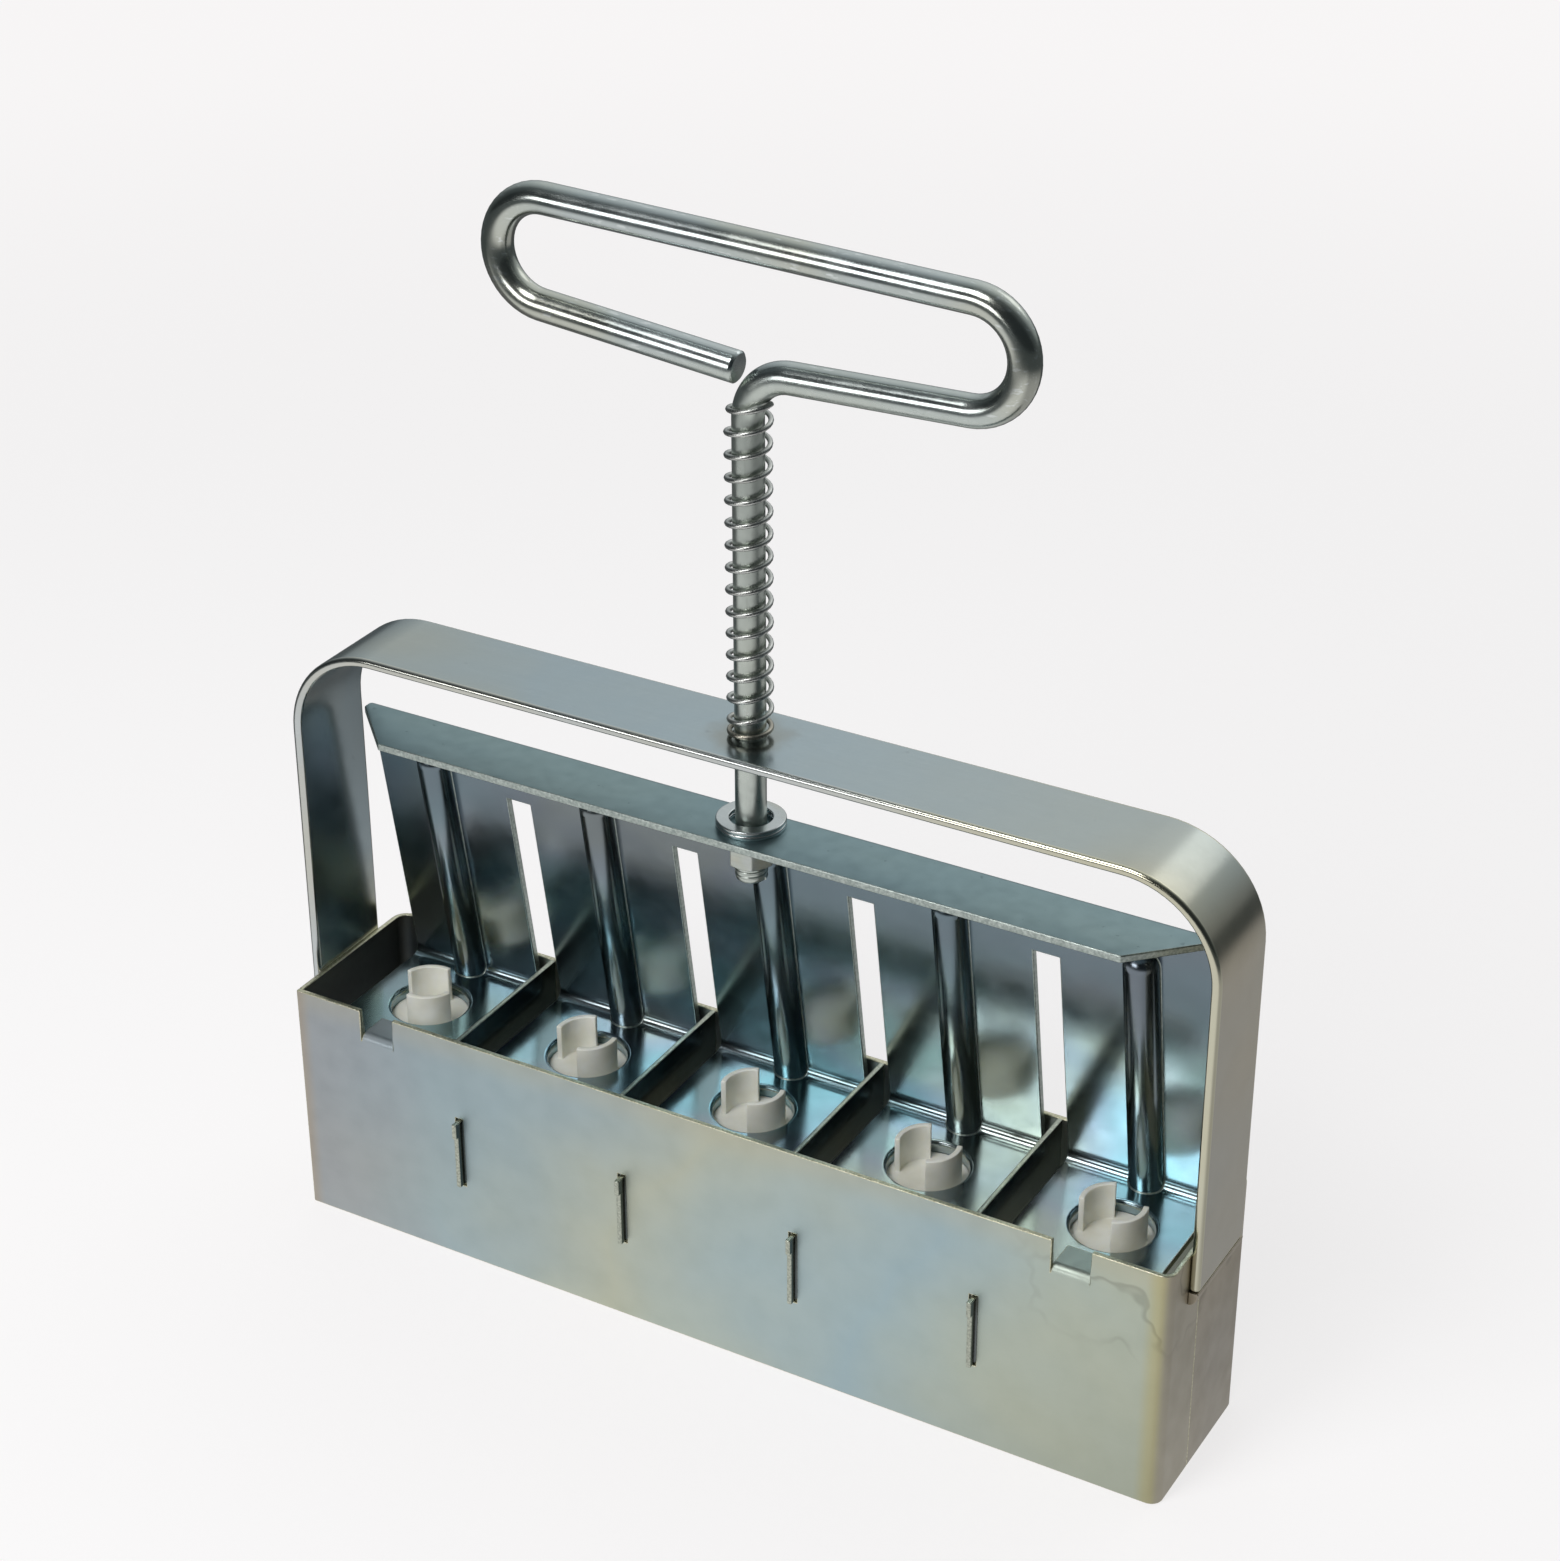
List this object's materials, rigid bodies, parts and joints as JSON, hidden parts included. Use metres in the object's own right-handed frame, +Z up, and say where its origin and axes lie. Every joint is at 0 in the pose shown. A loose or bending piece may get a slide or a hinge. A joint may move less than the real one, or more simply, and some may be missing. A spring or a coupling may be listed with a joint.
{
  "type": "soil blocker",
  "caption": "Hand soil blocker: a row of open-bottomed steel cells in a casing with a carrying strap, and a sprung plunger with seed pins, pushed down by a bent-rod grip.",
  "frame": {"origin": "centre of the casing's bottom rim, on the surface that the tool stands on", "axes": "+X along the row of cells to the right as seen from the front, +Y from front to rear, +Z up along the rod"},
  "size_m": [0.2, 0.0412, 0.2291],
  "materials": {
    "casing_zinc": "satin zinc plate with a clear blue to straw passivate",
    "divider_zinc": "satin zinc plate, straw-coloured on its cut edges",
    "strap_zinc": "semi-gloss zinc plate on flat bar, straw-coloured at the edges",
    "weld_metal": "rippled weld bead under zinc plate",
    "plunger_zinc": "bright blue-passivated zinc on pressed sheet",
    "nylon": "natural milky moulded nylon",
    "rod_zinc": "bright zinc plate on drawn rod",
    "hardware_zinc": "bright zinc plate",
    "spring_steel": "drawn spring wire, bright zinc plate"
  },
  "bodies": {
    "casing": {"front_panel": "casing_zinc", "rear_shell": "casing_zinc", "divider_1": "divider_zinc", "divider_2": "divider_zinc", "divider_3": "divider_zinc", "divider_4": "divider_zinc", "carry_strap": "strap_zinc", "weld_left": "weld_metal", "weld_right": "weld_metal", "return_spring": "spring_steel"},
    "plunger": {"plunger_plate": "plunger_zinc", "seed_pin_1": "nylon", "seed_pin_2": "nylon", "seed_pin_3": "nylon", "seed_pin_4": "nylon", "seed_pin_5": "nylon", "handle_rod": "rod_zinc", "washer_upper": "hardware_zinc", "washer_lower": "hardware_zinc", "lock_washer": "hardware_zinc", "lock_nut": "hardware_zinc"}
  },
  "joints": [
    {"name": "plunger_slide", "type": "slide", "parent": "casing", "child": "plunger", "axis": [0, 0, -1], "range_m": [0, 0.042], "stiffness_N_per_m": 1000, "springref_m": -0.008, "deforming": ["return_spring"]}
  ]
}
